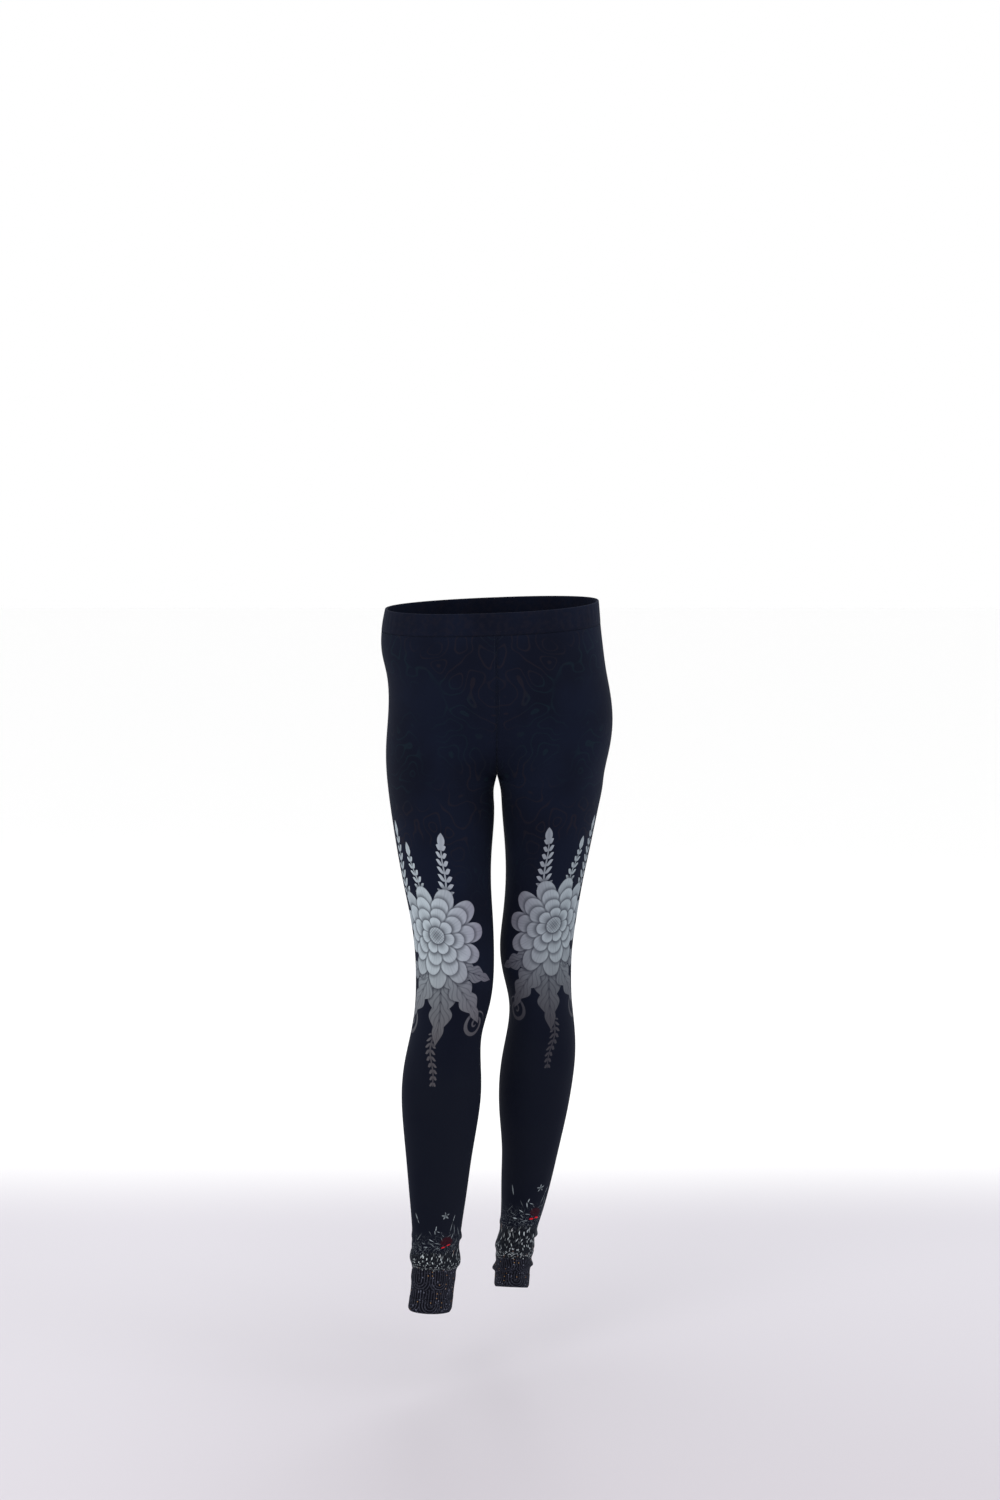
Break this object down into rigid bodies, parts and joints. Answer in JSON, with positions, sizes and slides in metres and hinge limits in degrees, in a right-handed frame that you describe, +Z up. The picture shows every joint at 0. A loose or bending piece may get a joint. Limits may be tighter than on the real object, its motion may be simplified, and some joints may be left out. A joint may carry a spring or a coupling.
{
  "type": "leggings",
  "caption": "Full-length stretch jersey leggings in navy black, worn open form, with an elastic waistband, printed knees and gathered knit-look ankles.",
  "frame": {"origin": "the middle of the waist opening at the waistband's top edge, where the wearer holds the garment up", "axes": "+Z up along the wearer, -Y the front, +X the wearer's left"},
  "size_m": [0.3153, 0.2393, 0.9818],
  "materials": {
    "jersey": "matt stretch jersey",
    "hem": "matt stretch jersey printed with a dark knit look"
  },
  "bodies": {
    "root": {"waistband": "jersey", "leg_right": "jersey", "leg_left": "jersey", "hem_right": "hem", "hem_left": "hem"}
  },
  "joints": []
}
